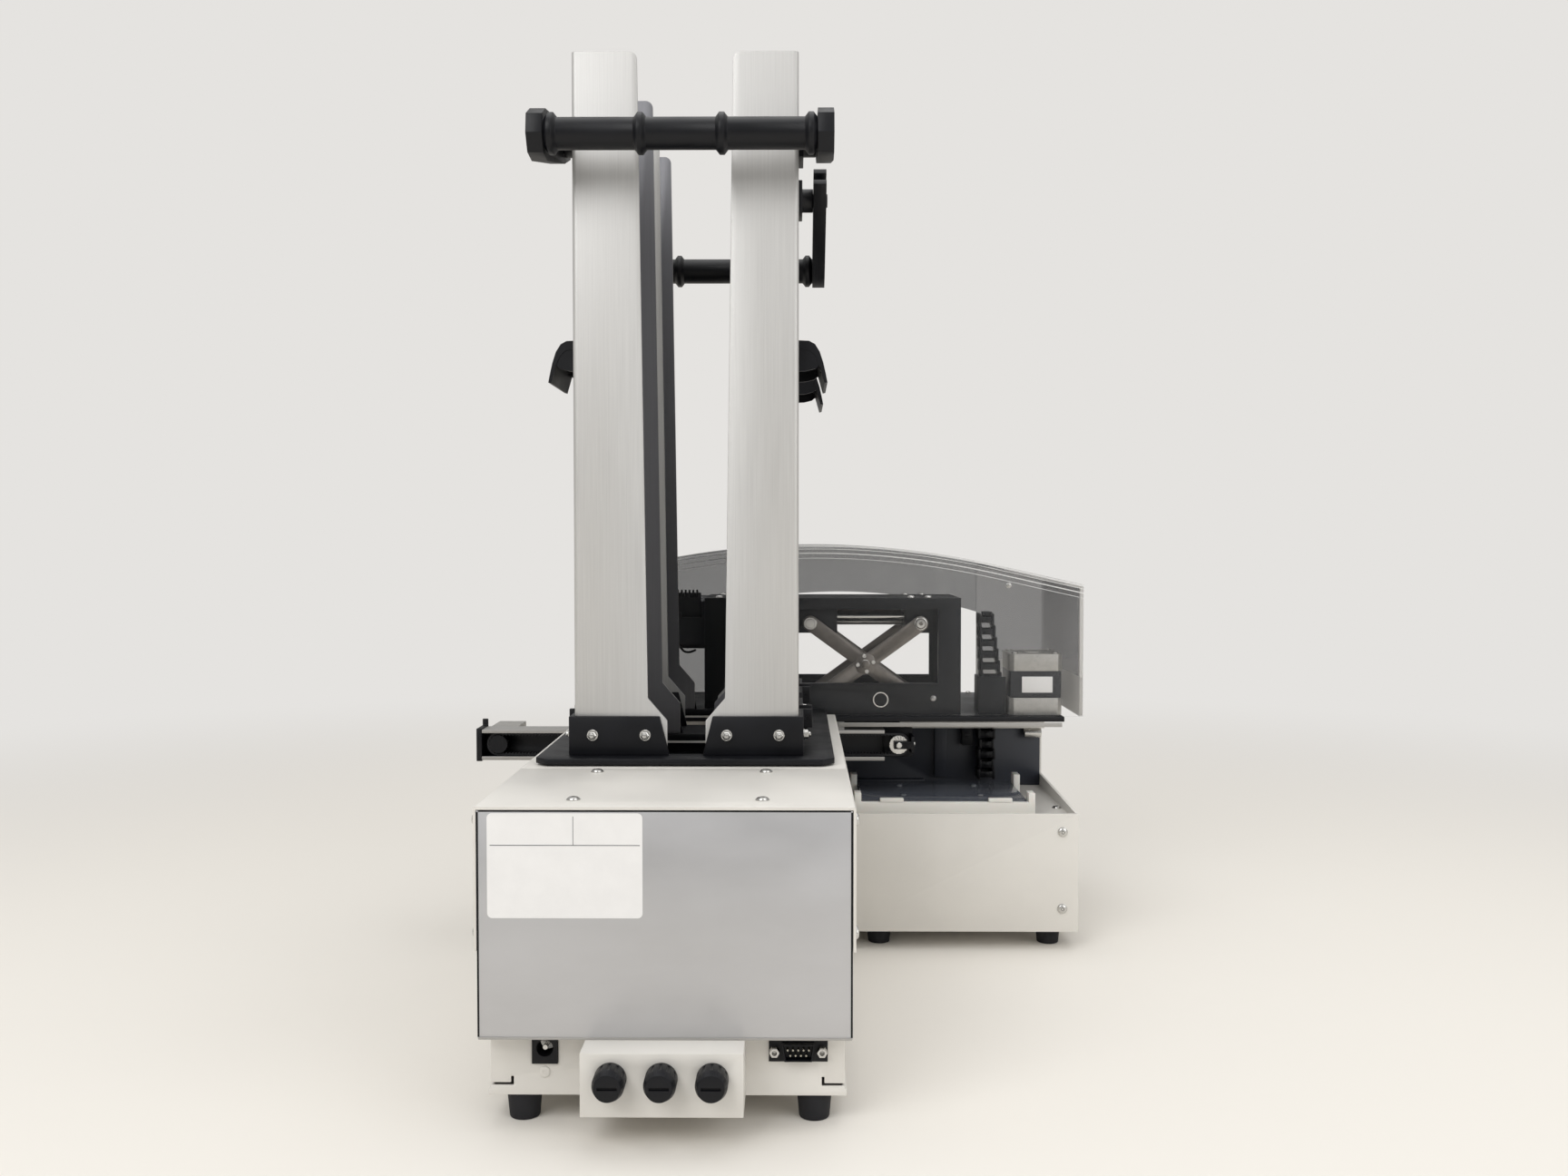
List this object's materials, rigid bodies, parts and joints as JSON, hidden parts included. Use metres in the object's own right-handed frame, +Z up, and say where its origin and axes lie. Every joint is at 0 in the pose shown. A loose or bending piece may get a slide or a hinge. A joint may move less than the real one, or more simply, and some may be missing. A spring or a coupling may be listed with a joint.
{
  "type": "microplate stacker",
  "caption": "Bench microplate stacker: tall lift-off magazines on a low housing with cam lifters and a belt track, docked to a plate station with a scissor lift under a clear cover.",
  "frame": {"origin": "middle of the footprint, on the bench", "axes": "+X to the right seen from the connector side, +Y from the rear panel towards the station, +Z up"},
  "size_m": [0.4806, 0.593, 0.605],
  "materials": {
    "white_paint": "satin powder coat",
    "satin_aluminium": "satin",
    "brushed_aluminium": "brushed lengthways",
    "black_plastic": "fine moulded grain",
    "black_metal": "black anodised",
    "grey_steel": "tumbled",
    "plated_steel": "bright plated",
    "rubber": "matte",
    "circuit_board": "solder mask",
    "white_plastic": "moulded",
    "navy_paint": "satin",
    "smoked_plastic": "gloss",
    "clear_plastic": "clear thermoformed",
    "milky_plastic": "frosted",
    "smoke_plastic": "smoke tint"
  },
  "bodies": {
    "housing": {"base_pan": "white_paint", "rear_lid": "white_paint", "main_cover": "white_paint", "rear_panel": "satin_aluminium", "fuse_box": "white_paint", "fuse_holders": "black_plastic", "power_inlet": "black_plastic", "serial_connector": "plated_steel", "rubber_feet": "rubber", "cover_screws": "plated_steel", "controller_board": "circuit_board", "drive_motors": "plated_steel", "lifter_guides": "satin_aluminium", "magazine_base_plate": "black_metal", "track_rail": "brushed_aluminium", "track_end_cap": "black_plastic", "idler_bracket": "black_metal", "track_belt": "rubber", "station_base": "white_paint", "bay_wall": "navy_paint", "plate_nest": "smoked_plastic", "nest_guides": "white_plastic", "station_deck": "black_metal", "lift_frame": "black_metal", "guide_rods": "plated_steel", "lift_motor": "black_metal", "feed_motor": "plated_steel", "cable_chain": "black_plastic", "clear_dome": "clear_plastic", "dome_end_cap": "milky_plastic", "smoke_hood": "smoke_plastic"},
    "fuse_cap_1": {"fuse_cap_1": "black_plastic"},
    "fuse_cap_2": {"fuse_cap_2": "black_plastic"},
    "fuse_cap_3": {"fuse_cap_3": "black_plastic"},
    "near_cam": {"near_cam": "white_plastic"},
    "far_cam": {"far_cam": "white_plastic"},
    "near_lifter": {"near_lifter": "satin_aluminium"},
    "far_lifter": {"far_lifter": "satin_aluminium"},
    "near_magazine": {"near_left_channel": "brushed_aluminium", "near_right_channel": "brushed_aluminium", "near_foot_brackets": "black_metal", "near_handle_fittings": "black_plastic"},
    "far_magazine": {"far_left_channel": "brushed_aluminium", "far_right_channel": "brushed_aluminium", "far_foot_brackets": "black_metal", "far_handle_fittings": "black_plastic"},
    "near_left_latch": {"near_left_latch": "black_plastic"},
    "near_right_latch": {"near_right_latch": "black_plastic"},
    "far_left_latch": {"far_left_latch": "black_plastic"},
    "far_right_latch": {"far_right_latch": "black_plastic"},
    "near_bail": {"near_bail": "black_plastic"},
    "far_bail": {"far_bail": "black_plastic"},
    "drive_pulley": {"drive_pulley": "satin_aluminium"},
    "idler_pulley": {"idler_pulley": "satin_aluminium"},
    "plate_carriage": {"plate_carriage": "black_metal"},
    "lead_screw": {"lead_screw": "plated_steel"},
    "sliding_block": {"sliding_block": "black_metal"},
    "driven_arms": {"driven_arms": "grey_steel"},
    "crossing_arms": {"crossing_arms": "grey_steel"},
    "lift_platform": {"lift_platform": "black_metal"}
  },
  "joints": [
    {"name": "fuse_cap_1_turn", "type": "hinge", "parent": "housing", "child": "fuse_cap_1", "pos_m": [-0.08045, -0.2825, 0.037], "axis": [0, 1, 0], "range_deg": [0, 45]},
    {"name": "fuse_cap_2_turn", "type": "hinge", "parent": "housing", "child": "fuse_cap_2", "pos_m": [-0.05475, -0.2825, 0.037], "axis": [0, 1, 0], "range_deg": [0, 45]},
    {"name": "fuse_cap_3_turn", "type": "hinge", "parent": "housing", "child": "fuse_cap_3", "pos_m": [-0.02905, -0.2825, 0.037], "axis": [0, 1, 0], "range_deg": [0, 45]},
    {"name": "near_magazine_lift_off", "type": "slide", "parent": "housing", "child": "near_magazine", "axis": [0, 0, 1], "range_m": [0, 0.012]},
    {"name": "near_left_latch_turn", "type": "hinge", "parent": "near_magazine", "child": "near_left_latch", "pos_m": [-0.13005, -0.072, 0.1934], "axis": [0, 1, 0], "range_deg": [0, 15], "stiffness_Nm_per_rad": 0.05},
    {"name": "near_right_latch_turn", "type": "hinge", "parent": "near_magazine", "child": "near_right_latch", "pos_m": [0.02055, -0.072, 0.1934], "axis": [0, -1, 0], "range_deg": [0, 15], "stiffness_Nm_per_rad": 0.05},
    {"name": "near_cam_turn", "type": "hinge", "parent": "housing", "child": "near_cam", "pos_m": [-0.05475, -0.072, 0.082], "axis": [0, 1, 0], "range_deg": [0, 270]},
    {"name": "near_lifter_rise", "type": "slide", "parent": "housing", "child": "near_lifter", "axis": [0, 0, 1], "range_m": [0, 0.0462]},
    {"name": "far_magazine_lift_off", "type": "slide", "parent": "housing", "child": "far_magazine", "axis": [0, 0, 1], "range_m": [0, 0.012]},
    {"name": "far_left_latch_turn", "type": "hinge", "parent": "far_magazine", "child": "far_left_latch", "pos_m": [-0.13005, 0.0635, 0.1934], "axis": [0, 1, 0], "range_deg": [0, 15], "stiffness_Nm_per_rad": 0.05},
    {"name": "far_right_latch_turn", "type": "hinge", "parent": "far_magazine", "child": "far_right_latch", "pos_m": [0.02055, 0.0635, 0.1934], "axis": [0, -1, 0], "range_deg": [0, 15], "stiffness_Nm_per_rad": 0.05},
    {"name": "far_cam_turn", "type": "hinge", "parent": "housing", "child": "far_cam", "pos_m": [-0.05475, 0.0635, 0.082], "axis": [0, 1, 0], "range_deg": [0, 270]},
    {"name": "far_lifter_rise", "type": "slide", "parent": "housing", "child": "far_lifter", "axis": [0, 0, 1], "range_m": [0, 0.0462]},
    {"name": "near_bail_swing", "type": "hinge", "parent": "near_magazine", "child": "near_bail", "pos_m": [-0.05475, -0.078, 0.561], "axis": [-1, 0, 0], "range_deg": [-18, 101]},
    {"name": "far_bail_swing", "type": "hinge", "parent": "far_magazine", "child": "far_bail", "pos_m": [-0.05475, 0.0695, 0.561], "axis": [1, 0, 0], "range_deg": [0, 125]},
    {"name": "carriage_slide", "type": "slide", "parent": "housing", "child": "plate_carriage", "axis": [1, 0, 0], "range_m": [0, 0.181]},
    {"name": "drive_pulley_turn", "type": "hinge", "parent": "housing", "child": "drive_pulley", "pos_m": [-0.22375, 0.1245, 0.146], "axis": [0, -1, 0], "range_deg": [-5, 1370]},
    {"name": "idler_pulley_turn", "type": "hinge", "parent": "housing", "child": "idler_pulley", "pos_m": [0.09445, 0.1245, 0.146], "axis": [0, -1, 0], "range_deg": [-5, 1370]},
    {"name": "lift_fold", "type": "hinge", "parent": "housing", "child": "driven_arms", "pos_m": [0.11345, 0.1715, 0.241], "axis": [0, -1, 0], "range_deg": [0, 24]},
    {"name": "crossing_fold", "type": "hinge", "parent": "driven_arms", "child": "crossing_arms", "pos_m": [0.06895, 0.1715, 0.20867], "axis": [0, -1, 0], "range_deg": [-50, 2]},
    {"name": "slide_pivot", "type": "hinge", "parent": "crossing_arms", "child": "sliding_block", "pos_m": [0.02446, 0.1715, 0.241], "axis": [0, -1, 0], "range_deg": [-2, 26]},
    {"name": "platform_pivot", "type": "hinge", "parent": "crossing_arms", "child": "lift_platform", "pos_m": [0.11345, 0.1715, 0.17634], "axis": [0, -1, 0], "range_deg": [-2, 26]},
    {"name": "lead_screw_turn", "type": "hinge", "parent": "housing", "child": "lead_screw", "pos_m": [-0.00475, 0.1715, 0.241], "axis": [1, 0, 0], "range_deg": [-10, 1540]}
  ],
  "couplings": [
    {"joint": "near_lifter_rise", "follows": "near_cam_turn", "m_per_rad": 0.0097615},
    {"joint": "far_lifter_rise", "follows": "far_cam_turn", "m_per_rad": 0.0097615},
    {"joint": "drive_pulley_turn", "follows": "carriage_slide", "rad_per_m": 131.58},
    {"joint": "idler_pulley_turn", "follows": "carriage_slide", "rad_per_m": 131.58},
    {"joint": "crossing_fold", "follows": "lift_fold", "ratio": -2},
    {"joint": "slide_pivot", "follows": "lift_fold", "ratio": 1},
    {"joint": "platform_pivot", "follows": "lift_fold", "ratio": 1},
    {"joint": "lead_screw_turn", "follows": "lift_fold", "ratio": 63.75}
  ]
}
